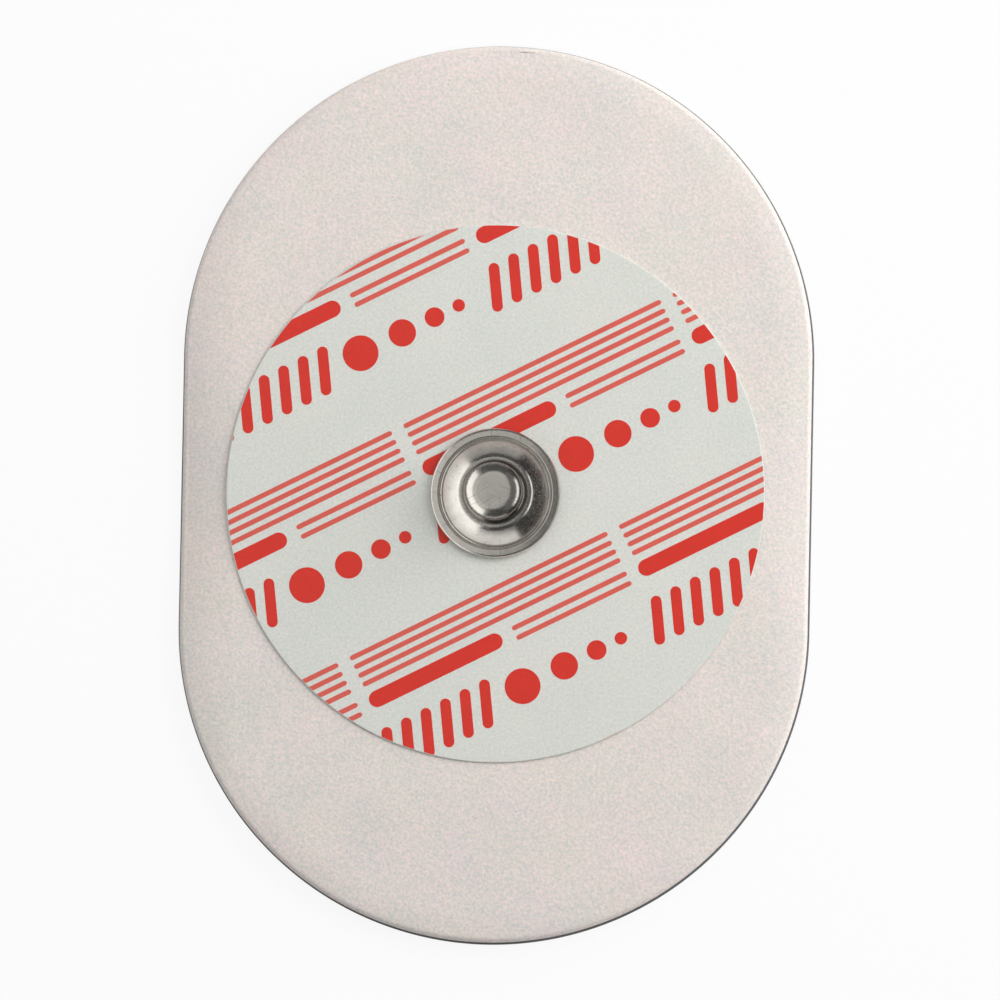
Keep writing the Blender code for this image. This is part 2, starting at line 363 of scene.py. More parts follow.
def foam_rings():
    """The pad's cross-section, carried round its outline: well, top, edge, wall and underside."""
    outline = stadium_ring(INNER_OUTLINE, pad_straight, 0.0)
    well = []
    for x, y, _ in outline:
        distance = math.hypot(x, y)
        well.append((WELL_RADIUS * x / distance, WELL_RADIUS * y / distance))

    def well_ring(share, height):
        """A ring that share of the way from the well to the inner outline."""
        ring = []
        for (well_x, well_y), (x, y, _) in zip(well, outline):
            at = (well_x + (x - well_x) * share, well_y + (y - well_y) * share)
            ring.append((*at, height(*at)))
        return ring

    rings = []
    for depth in (1.0, 0.75, 0.5, 0.25, 0.08):
        rings.append(well_ring(0.0, lambda x, y: pad_bottom + (pad_top(x, y) - pad_bottom) * (1 - depth)))
    for share in np.linspace(0.01, 1.0, 14):
        rings.append(well_ring(share, pad_top))
    for radius in TOP_RADII:
        ring = stadium_ring(radius * MM, pad_straight, 0.0)
        rings.append([(x, y, pad_top(x, y)) for x, y, _ in ring])
    across, down = EDGE_ROUNDING
    edge_start = stadium_ring(pad_radius - across, pad_straight, 0.0)
    tops = [pad_top(x, y) for x, y, _ in edge_start]
    for angle in np.radians(np.linspace(0, 90, 8)):
        ring = stadium_ring(pad_radius - across * (1 - math.sin(angle)), pad_straight, 0.0)
        rings.append([(x, y, top - down * (1 - math.cos(angle))) for (x, y, _), top in zip(ring, tops)])
    for share in np.linspace(0.12, 1.0, WALL_RINGS):
        bow = math.sin(math.pi * share)
        ring = stadium_ring(pad_radius - WALL_HOLLOW * bow - WALL_LEAN * share, pad_straight, 0.0)
        row = []
        for (x, y, _), top in zip(ring, tops):
            rough = noise.noise(Vector((x, y, share * MM)) * WALL_CELLS[0]) * bow
            grow = 1 + (rough - 1) * WALL_CELLS[1] / pad_radius
            wall_top = top - down
            row.append((x * grow, y * grow, wall_top + (pad_bottom - wall_top) * share))
        rings.append(row)
    for radius in UNDERSIDE_RADII:
        rings.append(stadium_ring(radius * MM, pad_straight, pad_bottom))
    for share in UNDERSIDE_SHARES:
        rings.append(well_ring(share, lambda x, y: pad_bottom))
    return rings


foam, tree, shader, tone = mottled_material(
    "white_foam_tape",
    {"Roughness": 0.72},
    {
        "Colour": (0.785, 0.714, 0.668, 1.0),
        "Cloud size": 4.5,
        "Cloud": 0.022,
        "Grain size": 0.19,
        "Grain": 0.105,
        "Tint": 0.36,
    },
)
where = place(tree, "ShaderNodeTexCoord").outputs["Object"]
cells = place(
    tree, "ShaderNodeTexVoronoi", {"Vector": where, "Scale": 4200.0, "Smoothness": 0.6}, feature="SMOOTH_F1"
)
skin = place(
    tree,
    "ShaderNodeMath",
    {0: cells.outputs["Distance"], 1: -0.6, 2: tone.outputs["Grain"]},
    operation="MULTIPLY_ADD",
)
add_relief(tree, shader, skin.outputs[0], 0.55, 0.03 * MM)

adhesive, tree, shader, tone = mottled_material(
    "acrylic_adhesive",
    {"Roughness": 0.3, "Coat Weight": 0.4, "Coat Roughness": 0.2},
    {"Colour": (0.78, 0.75, 0.70, 1.0), "Cloud size": 5.0, "Cloud": 0.05, "Grain size": 0.5, "Grain": 0.05},
)
add_relief(tree, shader, tone.outputs["Grain"], 0.4, 0.02 * MM)

# Painted shade: the die-cut wall is the same white foam as the top, given a darker grey to stand in for its
# shadow.
painted_shade_wall, tree, shader, tone = mottled_material(
    "foam_wall_painted_shade",
    {"Roughness": 0.85},
    {
        "Colour": (0.56, 0.52, 0.50, 1.0),
        "Cloud size": 3.0,
        "Cloud": 0.03,
        "Grain size": 0.16,
        "Grain": 0.12,
        "Tint": 0.15,
    },
)
add_relief(tree, shader, tone.outputs["Grain"], 0.6, 0.03 * MM)

rings = foam_rings()
points, faces = loft(rings, closed=True)
underside_start = len(rings) - len(UNDERSIDE_RADII) - len(UNDERSIDE_SHARES) - 1
wall_start = underside_start - WALL_RINGS - 1
row_slots = [0] * wall_start + [2] * (underside_start - wall_start)
row_slots += [1] * (len(rings) - 1 - underside_start) + [0]
slots = [row_slots[face // RING_POINTS] for face in range(len(faces))]
pad = add_piece("foam_pad_tape", points, faces, [foam, adhesive, painted_shade_wall], 50, slots)
fit(pad, "foam_pad")


# Gel.
# A disc of clear, tacky hydrogel that fills the well and lies on the skin in use.
# It is cast in place, holds a few tiny bubbles, and has a pocket on top for the sensor.

POCKET_CLEARANCE = 0.1 * MM  # round the sensor
POCKET_DEPTH_CLEARANCE = 0.02 * MM
GEL_TOP_CLEARANCE = 0.03 * MM  # room for the label's ripples and dip
GEL_ROUNDING = 0.25 * MM

gel_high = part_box("gel_pad")[1]
eyelet_low, eyelet_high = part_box("sensor_eyelet")
pocket_radius = eyelet_high.x + POCKET_CLEARANCE
pocket_floor = eyelet_low.z - POCKET_DEPTH_CLEARANCE
gel_bottom = pad_bottom
gel_top = gel_high.z - GEL_TOP_CLEARANCE


def turned_surface(profile, steps):
    """Points and faces of a profile of (radius, height), turned round the upright axis."""
    points, faces, rows = [], [], []
    for radius, height in profile:
        if radius < 1e-9:
            rows.append([len(points)])
            points.append((0.0, 0.0, height))
            continue
        rows.append(list(range(len(points), len(points) + steps)))
        for step in range(steps):
            angle = 2 * math.pi * step / steps
            points.append((radius * math.cos(angle), radius * math.sin(angle), height))
    for below, above in zip(rows, rows[1:]):
        for step in range(steps):
            after = (step + 1) % steps
            corners = [
                below[step % len(below)],
                below[after % len(below)],
                above[after % len(above)],
                above[step % len(above)],
            ]
            faces.append(tuple(dict.fromkeys(corners)))
    return points, faces


def rounded_line(corners, rounding, steps=4):
    """A profile through the corners, with the inner ones rounded off."""
    line = [corners[0]]
    for before, corner, after in zip(corners, corners[1:], corners[2:]):
        start = Vector(before) - Vector(corner)
        end = Vector(after) - Vector(corner)
        cut = min(rounding, start.length * 0.45, end.length * 0.45)
        start, end, middle = start.normalized() * cut, end.normalized() * cut, Vector(corner)
        for step in range(steps + 1):
            share = step / steps
            line.append(tuple(middle + start * (1 - share) ** 2 + end * share**2))
    return line + [corners[-1]]


# How far a point is from the upright axis, for what lies in rings round the sensor and on the stud.
off_axis, _, off_axis_out = new_group("off_axis", {}, {"Distance": "Float"})
where = place(off_axis, "ShaderNodeTexCoord").outputs["Object"]
flattened = place(off_axis, "ShaderNodeVectorMath", {0: where, 1: (1.0, 1.0, 0.0)}, operation="MULTIPLY")
distance = place(off_axis, "ShaderNodeVectorMath", {0: flattened.outputs[0]}, operation="LENGTH")
off_axis.links.new(distance.outputs["Value"], off_axis_out.inputs["Distance"])

hydrogel, tree, shader, tone = mottled_material(
    "clear_hydrogel",
    {"Roughness": 0.12, "IOR": 1.38, "Coat Weight": 0.5, "Coat Roughness": 0.05},
    {"Colour": (0.74, 0.80, 0.80, 1.0), "Cloud size": 2.5, "Cloud": 0.03, "Grain size": 0.4, "Grain": 0.03},
)
sensor_shows = place(
    tree,
    "ShaderNodeMapRange",
    {
        "Value": use_group(tree, off_axis, {}).outputs["Distance"],
        "From Min": eyelet_high.x - 0.3 * MM,
        "From Max": eyelet_high.x + 0.5 * MM,
        "To Min": 0.65,
        "To Max": 0.0,
    },
    interpolation_type="SMOOTHSTEP",
)
seen_through = place(
    tree,
    "ShaderNodeMix",
    {"Factor": sensor_shows.outputs[0], 6: tone.outputs["Colour"], 7: (0.36, 0.37, 0.37, 1.0)},
    data_type="RGBA",
)
tree.links.new(seen_through.outputs[2], shader.inputs["Base Color"])
where = place(tree, "ShaderNodeTexCoord").outputs["Object"]
bubbles = place(tree, "ShaderNodeTexVoronoi", {"Vector": where, "Scale": 900.0})
bubble = place(
    tree,
    "ShaderNodeMapRange",
    {
        "Value": bubbles.outputs["Distance"],
        "From Min": 0.16,
        "From Max": 0.24,
        "To Min": 0.3,
        "To Max": 0.0,
    },
)
body = place(tree, "ShaderNodeMath", {0: bubble.outputs[0], 1: 0.7}, operation="ADD")
tree.links.new(body.outputs[0], shader.inputs["Alpha"])
add_relief(tree, shader, bubble.outputs[0], 0.4, 0.03 * MM)

profile = [(radius * MM, gel_bottom) for radius in (0.0, 2.0, 4.0, 6.5)]
profile += rounded_line(
    [
        (7.5 * MM, gel_bottom),
        (gel_high.x, gel_bottom),
        (gel_high.x, gel_top),
        (pocket_radius, gel_top),
        (pocket_radius, pocket_floor),
        (3.0 * MM, pocket_floor),
    ],
    GEL_ROUNDING,
)
profile += [(0.0, pocket_floor)]
gel = add_piece("gel_disc", *turned_surface(profile, 160), [hydrogel], 50)
fit(gel, "gel_pad")


# Sensor.
# A moulded plastic eyelet with a coat of silver and silver chloride, which picks up the signal from the gel.
# Its post is pressed up through the label into the stud's neck.

EYELET_THICKNESS = 0.38 * MM  # clear of the label's dip
EYELET_ROUNDING = 0.14 * MM
POST_RADIUS = 1.38 * MM
POST_CHAMFER = 0.25 * MM
GATE_DEPTH = 0.06 * MM  # the dimple that the mould leaves in the middle of the underside
GATE_RADII = (0.45 * MM, 0.55 * MM)  # its floor and its mouth

eyelet_top = eyelet_low.z + EYELET_THICKNESS
profile = [(0.0, eyelet_low.z + GATE_DEPTH)]
profile += rounded_line(
    [
        (GATE_RADII[0], eyelet_low.z + GATE_DEPTH),
        (GATE_RADII[1], eyelet_low.z),
        (eyelet_high.x, eyelet_low.z),
        (eyelet_high.x, eyelet_top),
        (POST_RADIUS, eyelet_top),
        (POST_RADIUS, eyelet_high.z - POST_CHAMFER),
        (POST_RADIUS - POST_CHAMFER, eyelet_high.z),
        (0.3 * MM, eyelet_high.z),
    ],
    EYELET_ROUNDING,
)
profile += [(0.0, eyelet_high.z)]
silver_chloride, tree, shader, tone = mottled_material(
    "silver_chloride_coat",
    {"Roughness": 0.6, "Metallic": 0.25},
    {"Colour": (0.30, 0.29, 0.28, 1.0), "Cloud size": 1.5, "Cloud": 0.06, "Grain size": 0.08, "Grain": 0.08},
)
add_relief(tree, shader, tone.outputs["Grain"], 0.5, 0.01 * MM)
eyelet = add_piece("sensor_eyelet_coated", *turned_surface(profile, 96), [silver_chloride], 40)
fit(eyelet, "sensor_eyelet")


# Label.
# A round satin plastic film, punched from a printed roll and stuck over the well, where stud and sensor
# clamp it. It follows the foam's skin and dips a little under the stud's rim.

LABEL_RADIUS = 18.0 * MM
LABEL_HOLE = 1.48 * MM
LABEL_STEPS = 320
LABEL_RING_SPACING = 0.34 * MM
LABEL_LAST_RINGS = (0.2 * MM, 0.06 * MM)  # how far in from its edge the even rings end, and the last one is
LABEL_ROUNDING = 0.04 * MM
RIPPLE_SHARE = 0.8  # the film evens out some of the foam's ripples
DIP = 0.045 * MM
DIP_START, DIP_END = 5.5 * MM, 4.4 * MM

label_low, label_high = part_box("label_film")
label_thickness = label_high.z - label_low.z


def label_top(x, y):
    """Height of the label's upper face."""
    share = min(max((DIP_START - math.hypot(x, y)) / (DIP_START - DIP_END), 0.0), 1.0)
    dip = DIP * share * share * (3 - 2 * share)
    return label_high.z - RIPPLE_ROOM + ripple(x, y) * RIPPLE_SHARE - dip


def label_ring(radius, lift=0.0):
    """A ring of points on the label's upper face, or that far above it."""
    ring = []
    for step in range(LABEL_STEPS):
        angle = 2 * math.pi * step / LABEL_STEPS
        x, y = radius * math.cos(angle), radius * math.sin(angle)
        ring.append((x, y, label_top(x, y) + lift))
    return ring


radii = list(np.arange(LABEL_HOLE, LABEL_RADIUS - LABEL_LAST_RINGS[0], LABEL_RING_SPACING))
radii.append(LABEL_RADIUS - LABEL_LAST_RINGS[1])
rings = [label_ring(radius) for radius in radii]
for angle in np.radians([30, 60, 90]):
    inward, down = LABEL_ROUNDING * (1 - math.sin(angle)), LABEL_ROUNDING * (1 - math.cos(angle))
    rings.append(label_ring(LABEL_RADIUS - inward, -down))
for radius in [LABEL_RADIUS, *radii[::-3], LABEL_HOLE]:
    rings.append(label_ring(radius, -label_thickness))
film, tree, shader, tone = mottled_material(
    "satin_label_film",
    {"Roughness": 0.42},
    {
        "Colour": (0.722, 0.727, 0.673, 1.0),
        "Cloud size": 4.0,
        "Cloud": 0.014,
        "Grain size": 0.18,
        "Grain": 0.08,
        "Tint": 0.2,
    },
)
add_relief(tree, shader, tone.outputs["Grain"], 0.3, 0.012 * MM)
label = add_piece("label_film_disc", *loft(rings, closed=True), [film], 40)
fit(label, "label_film")


# Print.
# Red ink, printed across the whole roll before the labels are punched, so its rows run off at the label's
# edge. Each slanted row repeats six strokes, four dots and a bar in full ink, and fine stripes in paler ink.

INK_THICKNESS = 0.010 * MM
INK_SIDE = 1.2 * INK_THICKNESS  # its thin sides reach into the film
INK_SPACING = 0.45 * MM  # between the points of its mesh, so that it follows the label
PRINT_RADIUS = LABEL_RADIUS - 0.05 * MM
STUD_COVER = 3.7 * MM  # what lies within this radius is hidden by the stud and left away
ROW_ANGLE = math.radians(27)
# The design's sizes are in millimetres.
ROW_STEP = 12.4
REPEAT = 20.0
REPEAT_START = -4.4
STROKES, STROKE_STEP, STROKE_LEAN, STROKE_REACH, STROKE_WIDTH = 6, 1.45, 0.9, 1.2, 0.72
DOTS = ((10.4, 1.2), (13.5, 0.92), (15.9, 0.66), (17.7, 0.42))  # places along the row, and radii
BAR_ENDS, BAR_HEIGHT, BAR_WIDTH = (1.3, 10.0), 3.5, 1.12
STRIPE_WIDTH, STRIPE_GAP = 0.33, 0.2
SHORT_STRIPES = (11.6, (3.05, 3.75))  # where they start along the row, and their heights in it
LONG_STRIPES = (1.0, (4.75, 5.4, 6.05, 6.7))


def pill(start, end, width, cap_steps=10):
    """Outline of a stroke with round ends, with points all along its sides so that it follows the label."""
    heading = math.atan2(end.y - start.y, end.x - start.x)
    side_steps = int((end - start).length / INK_SPACING)
    outline = []
    for near, far, first in ((end, start, heading - math.pi / 2), (start, end, heading + math.pi / 2)):
        for step in range(cap_steps + 1):
            angle = first + math.pi * step / cap_steps
            outline.append(near + Vector((math.cos(angle), math.sin(angle))) * width / 2)
        corner = outline[-1]
        for step in range(1, side_steps):
            outline.append(corner + (far - near) * step / side_steps)
    return outline


def dot(middle, radius, steps=36):
    """Outline of a round dot."""
    angles = [2 * math.pi * step / steps for step in range(steps)]
    return [middle + Vector((math.cos(angle), math.sin(angle))) * radius for angle in angles]


def clip_to_disc(outline, radius, sides=240):
    """What of an outline lies in the disc, cut along one side of the disc after the other."""
    for step in range(sides):
        if not outline:
            break
        angle = 2 * math.pi * step / sides
        normal = Vector((math.cos(angle), math.sin(angle)))
        limit = radius * math.cos(math.pi / sides)
        kept = []
        for here, after in zip(outline, outline[1:] + outline[:1]):
            depth, next_depth = limit - here.dot(normal), limit - after.dot(normal)
            if depth >= 0:
                kept.append(here)
            if depth * next_depth < 0:
                kept.append(here.lerp(after, depth / (depth - next_depth)))
        outline = kept
    return outline


def inner_spots(outline):
    """Points inside an outline's box, in rows, that keep clear of the outline's own points."""
    low = [min(point[axis] for point in outline) for axis in (0, 1)]
    high = [max(point[axis] for point in outline) for axis in (0, 1)]
    spots = []
    for x in np.arange(low[0] + INK_SPACING / 2, high[0], INK_SPACING):
        for y in np.arange(low[1] + INK_SPACING / 2, high[1], INK_SPACING):
            spot = Vector((x, y))
            if min((spot - point).length for point in outline) > INK_SPACING * 0.3:
                spots.append(spot)
    return spots


def inked(name, outlines, material):
    """One mesh of all outlines: ink that lies on the label, with its thin sides."""
    flat, loops = [], []
    for outline in outlines:
        reaches = [point.length for point in outline]
        if min(reaches) > PRINT_RADIUS:
            continue
        if max(reaches) > PRINT_RADIUS * 0.99:
            outline = clip_to_disc(outline, PRINT_RADIUS)
        if len(outline) < 3 or max(point.length for point in outline) < STUD_COVER:
            continue
        loops.append(list(range(len(flat), len(flat) + len(outline))))
        flat += outline + inner_spots(outline)
    spots, _, triangles = geometry.delaunay_2d_cdt(flat, [], loops, 1, 1e-8)[:3]
    used = {}
    for triangle in triangles:
        for corner in triangle:
            used.setdefault(corner, len(used))
    points = [(*spots[corner], label_top(*spots[corner]) + INK_THICKNESS) for corner in used]
    faces = [tuple(used[corner] for corner in triangle) for triangle in triangles]
    borders = {}
    for face in faces:
        for ends in zip(face, face[1:] + face[:1]):
            borders[frozenset(ends)] = None if frozenset(ends) in borders else ends
    feet = {}
    for ends in filter(None, borders.values()):
        for corner in ends:
            if corner not in feet:
                feet[corner] = len(points)
                x, y, z = points[corner]
                points.append((x, y, z - INK_SIDE))
        faces.append((*ends, feet[ends[1]], feet[ends[0]]))
    piece = add_piece(name, points, faces, [material], 60)
    fit(piece, None)
    return piece


def on_roll(row, along, up):
    """A point of the roll in metres, from its row, its place along it and its height in it."""
    shift = REPEAT / 2 if row % 2 else 0.0
    along_row = Vector((math.cos(ROW_ANGLE), math.sin(ROW_ANGLE)))
    up_row = Vector((-math.sin(ROW_ANGLE), math.cos(ROW_ANGLE)))
    return along_row * ((along + shift) * MM) + up_row * ((row * ROW_STEP + up) * MM)


bold, fine = [], []
for row in range(-2, 3):
    for repeat in range(-2, 3):
        start = repeat * REPEAT + REPEAT_START
        for stroke in range(STROKES):
            foot = start + STROKE_STEP * stroke
            ends = on_roll(row, foot, -STROKE_REACH), on_roll(row, foot + STROKE_LEAN, STROKE_REACH)
            bold.append(pill(*ends, STROKE_WIDTH * MM))
        for along, radius in DOTS:
            bold.append(dot(on_roll(row, start + along, 0.0), radius * MM))
        ends = [on_roll(row, start + end, BAR_HEIGHT) for end in BAR_ENDS]
        bold.append(pill(*ends, BAR_WIDTH * MM))
        for along, heights in (SHORT_STRIPES, LONG_STRIPES):
            for height in heights:
                ends = [on_roll(row, start + end, height) for end in (along, REPEAT - STRIPE_GAP)]
                fine.append(pill(*ends, STRIPE_WIDTH * MM, 4))

red_ink, tree, shader, tone = mottled_material(
    "red_ink",
    {"Roughness": 0.36},
    {
        "Colour": (0.70, 0.026, 0.012, 1.0),
        "Cloud size": 1.6,
        "Cloud": 0.03,
        "Grain size": 0.16,
        "Grain": 0.05,
    },
)
add_relief(tree, shader, tone.outputs["Grain"], 0.25, 0.01 * MM)
pale_ink = mottled_material(
    "pale_red_ink",
    {"Roughness": 0.38},
    {"Colour": (0.72, 0.11, 0.08, 1.0), "Cloud size": 1.6, "Cloud": 0.04, "Grain size": 0.14, "Grain": 0.08},
)[0]
bold_print = inked("label_print_bold", bold, red_ink)
fine_print = inked("label_print_fine", fine, pale_ink)


# Snap stud.
# Drawn brass sheet, plated with nickel, whose rim is rolled under. The lead's socket snaps over its round
# head. It is pressed onto the sensor's post from above, so the label is held between the two.

# Heights are from the underside of the solid.
WALL = 0.25 * MM
HEAD_TOP = 3.40 * MM
HEAD_WIDEST = 2.90 * MM
HEAD_RADIUS = 1.95 * MM
CROWN_FLAT = 1.06 * MM
CROWN_BEND, CROWN_SLOPE = 1.16 * MM, 43.0  # radius, and degrees at its end
CROWN_CORNER = 0.10 * MM
NECK_TOP = 2.10 * MM
NECK_RADIUS = 1.68 * MM
NECK_FILLET = 0.55 * MM
SHOULDER_START, SHOULDER_END = 2.20 * MM, 2.64 * MM
CONE_SLOPE, FLARE = 38.0, 8.0  # degrees: the bell's slope below the shoulder, and its growth to the foot
BELL_STEPS = 36
BELL_FOOT_RADIUS, BELL_FOOT = 3.50 * MM, 0.45 * MM
GROOVE_RADIUS, GROOVE_BOTTOM = 3.66 * MM, 0.30 * MM
RIM_START, RIM_FLAT = 3.84 * MM, 0.43 * MM
RIM_ROUND = 0.13 * MM
RIM_FALL = 0.045 * MM
RIM_INNER = 3.70 * MM
RIM_BOTTOM = -0.065 * MM  # below the solid's: the rim reaches into the label's dip
STUD_STEPS = 176
NECK_SHADE_INNER, NECK_SHADE_OUTER = 1.9 * MM, 2.38 * MM  # painted shade darkens the corner round the neck, where the head shades it
NECK_SHADE_WAVER = 0.25 * MM
DENTS = (900.0, 0.005 * MM)  # how close, in turns a metre, and how deep

stud_low, stud_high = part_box("snap_stud")


def bell_line():
    """The bell's outside from its foot up to the shoulder: steep, then bent to level."""
    line = [(BELL_FOOT_RADIUS, BELL_FOOT)]
    width = (BELL_FOOT_RADIUS - NECK_RADIUS - NECK_FILLET) / BELL_STEPS
    for step in range(BELL_STEPS):
        middle = BELL_FOOT_RADIUS - (step + 0.5) * width
        bend = min(max((middle - SHOULDER_START) / (SHOULDER_END - SHOULDER_START), 0.0), 1.0)
        flare = max((middle - SHOULDER_END) / (BELL_FOOT_RADIUS - SHOULDER_END), 0.0)
        slope = CONE_SLOPE * bend * bend * (3 - 2 * bend) + FLARE * flare
        line.append((line[-1][0] - width, line[-1][1] + width * math.tan(math.radians(slope))))
    return line


def stud_profile():
    """The stud's section from the middle of its head, down its outside and up its inside."""
    line = [(share * CROWN_FLAT, HEAD_TOP) for share in (0.0, 0.25, 0.5, 0.75)]
    for angle in np.radians(np.linspace(0, CROWN_SLOPE, 16)):
        out, down = CROWN_BEND * math.sin(angle), CROWN_BEND * (1 - math.cos(angle))
        line.append((CROWN_FLAT + out, HEAD_TOP - down))
    radius, height = line[-1]
    line += rounded_line(
        [
            (radius, height),
            (HEAD_RADIUS - 0.02 * MM, height - 0.10 * MM),
            (HEAD_RADIUS, HEAD_WIDEST - 0.05 * MM),
            (HEAD_RADIUS - 0.01 * MM, HEAD_WIDEST - 0.12 * MM),
        ],
        CROWN_CORNER,
        7,
    )[1:]
    for share in np.linspace(0.2, 1.0, 10):
        undercut = (HEAD_RADIUS - NECK_RADIUS) * (1 - math.cos(math.pi * share)) / 2
        line.append((HEAD_RADIUS - undercut, HEAD_WIDEST + (NECK_TOP - HEAD_WIDEST) * share))
    bell = bell_line()
    crest_height = bell[-1][1]
    for angle in np.radians(np.linspace(5, 80, 9)):
        out, up = NECK_FILLET * (1 - math.cos(angle)), NECK_FILLET * (1 - math.sin(angle))
        line.append((NECK_RADIUS + out, crest_height + up))
    line += bell[::-1]
    for share in (0.2, 0.4, 0.6, 0.8, 1.0):
        drop = (BELL_FOOT - GROOVE_BOTTOM) * math.sin(math.pi / 2 * share)
        line.append((BELL_FOOT_RADIUS + (GROOVE_RADIUS - BELL_FOOT_RADIUS) * share, BELL_FOOT - drop))
    for share in (0.25, 0.5, 0.75, 1.0):
        rise = (RIM_FLAT - GROOVE_BOTTOM) * (1 - math.cos(math.pi * share)) / 2
        line.append((GROOVE_RADIUS + (RIM_START - GROOVE_RADIUS) * share, GROOVE_BOTTOM + rise))
    rim_middle = stud_high.x - RIM_ROUND
    for share in (0.15, 0.5, 0.85):
        line.append((RIM_START + (rim_middle - RIM_START) * share, RIM_FLAT - RIM_FALL * share))
    half_height = (RIM_FLAT - RIM_FALL - RIM_BOTTOM) / 2
    for angle in np.radians(np.linspace(80, -90, 18)):
        out, up = RIM_ROUND * math.cos(angle), half_height * (1 + math.sin(angle))
        line.append((rim_middle + out, RIM_BOTTOM + up))
    line += [(RIM_INNER, RIM_BOTTOM), (BELL_FOOT_RADIUS - WALL, RIM_BOTTOM)]
    for radius, height in bell[4:-1:4]:
        line.append((radius - WALL * 0.75, height - WALL * 0.75))
    line += [
        (NECK_RADIUS - WALL, crest_height - WALL),
        (NECK_RADIUS - WALL, NECK_TOP),
        (HEAD_RADIUS - WALL, HEAD_WIDEST),
        (CROWN_FLAT, HEAD_TOP - WALL),
        (0.0, HEAD_TOP - WALL),
    ]
    return line


nickel, tree, shader, tone = mottled_material(
    "nickel_plate",
    {"Metallic": 1.0},
    {
        "Colour": (0.63, 0.605, 0.565, 1.0),
        "Cloud size": 0.7,
        "Cloud": 0.07,
        "Grain size": 0.12,
        "Grain": 0.06,
    },
)
marks = use_group(tree, hairlines, {"Spacing": 0.22, "Amount": 0.45}).outputs["Mask"]
distance = use_group(tree, off_axis, {}).outputs["Distance"]
wavering = place(
    tree,
    "ShaderNodeMath",
    {0: tone.outputs["Grain"], 1: NECK_SHADE_WAVER, 2: distance},
    operation="MULTIPLY_ADD",
)
# Painted shade: the colour goes dark in a wavering ring in the corner round the neck, where the head shades
# it.
inside, outside = [
    place(tree, "ShaderNodeMapRange", {"Value": wavering.outputs[0], "From Min": none, "From Max": full})
    for none, full in (
        (NECK_SHADE_INNER - 0.05 * MM, NECK_SHADE_INNER + 0.10 * MM),
        (NECK_SHADE_OUTER + 0.12 * MM, NECK_SHADE_OUTER - 0.12 * MM),
    )
]
ring = place(tree, "ShaderNodeMath", {0: inside.outputs[0], 1: outside.outputs[0]}, operation="MULTIPLY")
shade_and_scratches = place(
    tree,
    "ShaderNodeMath",
    {0: ring.outputs[0], 1: 0.9, 2: marks},
    operation="MULTIPLY_ADD",
    use_clamp=True,
)
# The painted shade ring and the hairline scratches, which are real wear, both mix the plating towards dark.
shaded_and_scratched = place(
    tree,
    "ShaderNodeMix",
    {"Factor": shade_and_scratches.outputs[0], 6: tone.outputs["Colour"], 7: (0.16, 0.15, 0.135, 1.0)},
    data_type="RGBA",
)
tree.links.new(shaded_and_scratched.outputs[2], shader.inputs["Base Color"])
rough = place(
    tree,
    "ShaderNodeMapRange",
    {
        "Value": tone.outputs["Grain"],
        "From Min": 0.3,
        "From Max": 0.7,
        "To Min": 0.16,
        "To Max": 0.27,
    },
)
worn = place(tree, "ShaderNodeMath", {0: marks, 1: 0.15, 2: rough.outputs[0]}, operation="MULTIPLY_ADD")
tree.links.new(worn.outputs[0], shader.inputs["Roughness"])
scored = place(
    tree, "ShaderNodeMath", {0: marks, 1: -0.6, 2: tone.outputs["Grain"]}, operation="MULTIPLY_ADD"
)
add_relief(tree, shader, scored.outputs[0], 0.25, 0.008 * MM)

points, faces = turned_surface(stud_profile(), STUD_STEPS)
dented = []
for x, y, z in points:
    push = noise.noise(Vector((x, y, z)) * DENTS[0]) * DENTS[1]
    grow = 1 + push / max(math.hypot(x, y), 0.5 * MM)
    dented.append((x * grow, y * grow, z + stud_low.z))
stud = add_piece("snap_stud_shell", dented, faces, [nickel], 45)
fit(stud, "snap_stud")


# Table, light and camera.
# The electrode lies on white paper, under a large softbox at the right and a weak one at the back. A lamp
# under the table lights its underside. Bright and dark cards, which only reflections show, stand round it.

PAD_MIDDLE = Vector((0.0, 0.0, 1.6 * MM))
TABLE_HALF = 2.0
TABLE_CLEARANCE = 0.02 * MM
RAYS = ("camera", "diffuse", "glossy", "transmission", "volume_scatter", "shadow")

table_mesh = bpy.data.meshes.new("paper_table")
table_corners = [(x * TABLE_HALF, y * TABLE_HALF, 0) for x, y in ((-1, -1), (1, -1), (1, 1), (-1, 1))]
table_mesh.from_pydata(table_corners, [], [(0, 1, 2, 3)])
table = bpy.data.objects.new("paper_table", table_mesh)
table.location.z = -TABLE_CLEARANCE
bpy.context.scene.collection.objects.link(table)


def any_of(tree, outputs):
    """One where any of the outputs is one."""
    either = outputs[0]
    for output in outputs[1:]:
        either = place(tree, "ShaderNodeMath", {0: either, 1: output}, operation="MAXIMUM").outputs[0]
    return either


# From above the paper is white, and from below and for shadows it isn't there.
paper = bpy.data.materials.new("white_paper")
paper.use_nodes = True
tree = paper.node_tree
tree.nodes.clear()
lit = place(tree, "ShaderNodeBsdfDiffuse", {"Color": (0.86, 0.86, 0.86, 1.0)})
white = place(tree, "ShaderNodeEmission", {"Color": (1.0, 1.0, 1.0, 1.0), "Strength": 1.0})
through = place(tree, "ShaderNodeBsdfTransparent")
path = place(tree, "ShaderNodeLightPath").outputs
seen = any_of(tree, [path["Is Camera Ray"], path["Is Transmission Ray"]])
share = place(tree, "ShaderNodeMath", {0: seen, 1: 0.9}, operation="MULTIPLY")
top_side = place(tree, "ShaderNodeMixShader", {0: share.outputs[0], 1: lit.outputs[0], 2: white.outputs[0]})
facing = place(tree, "ShaderNodeNewGeometry").outputs
opened = any_of(tree, [facing["Backfacing"], path["Is Shadow Ray"]])
sheet = place(tree, "ShaderNodeMixShader", {0: opened, 1: top_side.outputs[0], 2: through.outputs[0]})
place(tree, "ShaderNodeOutputMaterial", {"Surface": sheet.outputs[0]})
table_mesh.materials.append(paper)

